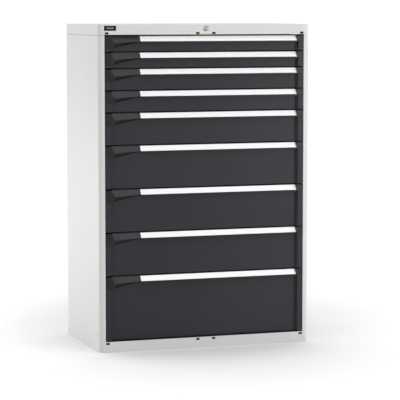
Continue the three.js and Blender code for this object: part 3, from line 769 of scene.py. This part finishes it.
def paint_slot_and_gap_shade():
    """Painted shade: black sheets in the rails' punched slots, and a black strip in the gap under the lowest
    drawer's front.
    """
    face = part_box("top_cover")[0].y / MM
    half = RAIL_SLOT_HALF
    # Painted shade: black sheets fill the rails' punched slots.
    slot_shades = [rounded_box("slot_shade_box", [(x - half[0]) * MM, (face - 0.05) * MM, (z - half[1]) * MM],
                          [(x + half[0]) * MM, (face + 1.5) * MM, (z + half[1]) * MM], 0.0005, 2)
              for z in RAIL_SLOT_Z for x in RAIL_SLOT_X]
    add_piece("slot_painted_shade", joined("slot_painted_shade", slot_shades), PAINTED_OPENING_SHADE, "housing")
    # Painted shade: the black strip darkens the gap under the lowest drawer's front.
    front_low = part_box("drawer_9_front")[0].z / MM
    strip = rounded_box("strip", [GAP_SHADE_X[0] * MM, GAP_SHADE_Y[0] * MM, (front_low - 4.4) * MM],
                        [GAP_SHADE_X[1] * MM, GAP_SHADE_Y[1] * MM, (front_low - 0.4) * MM], 0.0006, 2)
    add_piece("base_gap_painted_shade", strip, PAINTED_OPENING_SHADE, "housing")


def panel_fixings():
    """Rivets round the back panel, screws into the runner uprights, and black domes of painted shade at the
    sides' holes.
    """
    back_low, back_high = (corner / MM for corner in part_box("back_panel"))
    side_low, side_high = (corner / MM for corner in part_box("left_side"))
    half = side_low.x
    rows = 7
    height = back_high.z - back_low.z - 120
    middle_z = (back_low.z + back_high.z) / 2
    flange_y = side_high.y
    back = [rivets(PAINTED_RIVETS, 2, rows, 970, height, 4.2, at(0, flange_y, middle_z, FACING_BACK)),
            rivets(PAINTED_RIVETS, 7, 2, 840, height + 70, 3.6, at(0, back_high.y, middle_z, FACING_BACK))]
    add_piece("back_rivets", joined("back_rivets", back), HOUSING_PAINT, "housing")
    # Painted shade: black domes stand for the dark inside of the sides' holes.
    hole_shades = [rivets(PAINTED_RIVETS, 1, 1, 0, 0, 3.2, at(side * abs(half), y, z, turn))
             for side, turn in ((-1, FACING_LEFT), (1, FACING_RIGHT)) for y, z in SIDE_HOLE_PLACES]
    add_piece("side_hole_shades", joined("side_hole_shade_domes", hole_shades), PAINTED_OPENING_SHADE, "housing")
    screws = []
    for number in DRAWERS:
        low, high = (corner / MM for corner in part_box(f"drawer_{number}_carriage"))
        rail_z = (low.z + high.z) / 2
        for side, turn in ((-1, FACING_RIGHT), (1, FACING_LEFT)):
            for y in RUNNER_SCREW_Y:
                place = at(side * RUNNER_SCREW_X, y, rail_z, turn)
                screws.append(rivets(ZINC_RIVETS, 1, 1, 0, 0, 3.0, place))
    add_piece("runner_screws", joined("runner_screws", screws), ZINC, "housing")


def back_pressings():
    """Shallow stiffening beads pressed out of the back panel."""
    low, high = (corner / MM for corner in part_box("back_panel"))
    beads = []
    rise, half_height, reach = 1.1, 9.0, 400.0
    for i in range(4):
        centre = low.z + (high.z - low.z) * (i + 1) / 5
        rings = []
        for part in range(17):
            t = -1 + 2 * part / 16
            x = reach * t
            fade = math.sqrt(max(1 - max(0.0, (abs(x) - (reach - half_height)) / half_height) ** 2, 0.0004))
            ring = []
            for k in range(9):
                a = -1 + 2 * k / 8
                lift = rise * fade * math.cos(a * math.pi / 2) ** 0.8 if abs(a) < 1 else 0.0
                ring.append((x * MM, (high.y + lift - 0.05) * MM, (centre + a * half_height * fade) * MM))
            ring += [(x * MM, (high.y - 0.3) * MM, (centre + half_height * fade) * MM),
                     (x * MM, (high.y - 0.3) * MM, (centre - half_height * fade) * MM)]
            rings.append(ring)
        bead = lofted("bead", rings)
        for polygon in bead.polygons:
            polygon.use_smooth = True
        beads.append(bead)
    add_piece("back_beads", joined("back_beads", beads), HOUSING_PAINT, "housing")


# ---- Studio ----

def floor_material():
    """A pale seamless floor: faint mottling, and a painted shadow that greys the floor softly behind and
    beside the cabinet.
    """
    material, maker, place = new_material("studio_floor")
    cloud = maker.noise(place, 0.6, 2.0)
    # Painted shadow: the floor's colour darkens towards a point behind the cabinet.
    shadow_centre = (0.12, 0.6, 0.0)
    away = maker.add("ShaderNodeVectorMath", {"operation": "DISTANCE"}, {0: place, 1: shadow_centre}, "Value")
    painted_shadow = maker.ramp(away * 0.5, [(0.27, 0.0), (0.66, 1.0)])
    unshaded_floor = maker.blend(cloud, rgb(0.94, 0.94, 0.94), rgb(0.96, 0.96, 0.96))
    base = maker.blend(painted_shadow, rgb(0.73, 0.73, 0.735), unshaded_floor)
    close_material(maker, Base_Color=base, Roughness=cloud * 0.05 + 0.85, Specular_IOR_Level=0.1)
    return material


def studio_world():
    """A soft white room. Each of its six sides has its own level, and the sides melt into each other."""
    world = bpy.data.worlds.new("studio")
    world.use_nodes = True
    world.node_tree.nodes.clear()
    maker = Maker(world.node_tree)
    direction = maker.add("ShaderNodeTexCoord", {}, {}, "Generated")
    split = maker.add("ShaderNodeSeparateXYZ", {}, {"Vector": direction}).socket.node
    level = 0.0
    sides = (("X", "left", "right"), ("Y", "front", "back"), ("Z", "below", "above"))
    for axis, low_side, high_side in sides:
        reach = Wire(maker, split.outputs[axis])
        high, low = reach.at_least(0.0), reach.at_most(0.0)
        level = level + high * high * ROOM[high_side] + low * low * ROOM[low_side]
    background = maker.add("ShaderNodeBackground", {}, {"Color": rgb(1.0, 1.0, 1.0), "Strength": level})
    maker.add("ShaderNodeOutputWorld", {}, {"Surface": background})
    bpy.context.scene.world = world


def studio():
    """The floor, the room's light and the lamps."""
    work = bmesh.new()
    bmesh.ops.create_grid(work, x_segments=4, y_segments=4, size=60.0)
    mesh = bpy.data.meshes.new("floor")
    work.to_mesh(mesh)
    work.free()
    mesh.materials.append(floor_material())
    floor = bpy.data.objects.new("floor", mesh)
    floor.location.z = -0.0005
    floor.visible_glossy = False
    bpy.context.scene.collection.objects.link(floor)
    studio_world()

    for name, place, aim, size, power in SOFT_BOXES:
        data = bpy.data.lights.new(name, "AREA")
        data.shape = "RECTANGLE"
        data.size, data.size_y = size
        data.energy = power
        light = bpy.data.objects.new(name, data)
        light.location = place
        light.rotation_euler = (Vector(aim) - Vector(place)).to_track_quat("-Z", "Y").to_euler()
        bpy.context.scene.collection.objects.link(light)
    bpy.context.scene.view_settings.view_transform = "Standard"


def camera():
    data = bpy.data.cameras.new("camera")
    data.lens = CAMERA_LENS
    data.sensor_width = 36.0
    data.clip_end = 200.0
    eye = bpy.data.objects.new("camera", data)
    eye.location = CAMERA_PLACE
    eye.rotation_euler = (math.radians(90 - CAMERA_PITCH), 0.0, math.radians(-CAMERA_YAW))
    bpy.context.scene.collection.objects.link(eye)
    bpy.context.scene.camera = eye


camera()
studio()
dress_frame()
for drawer in DRAWERS:
    pull_grip(drawer)
    end_cap(drawer)
    pull_edges_and_shade(drawer)
    label_ribs(drawer)
    tray_slots(drawer)
    bearing_rollers(drawer)
lock_details()
badge_details()
paint_slot_and_gap_shade()
panel_fixings()
back_pressings()
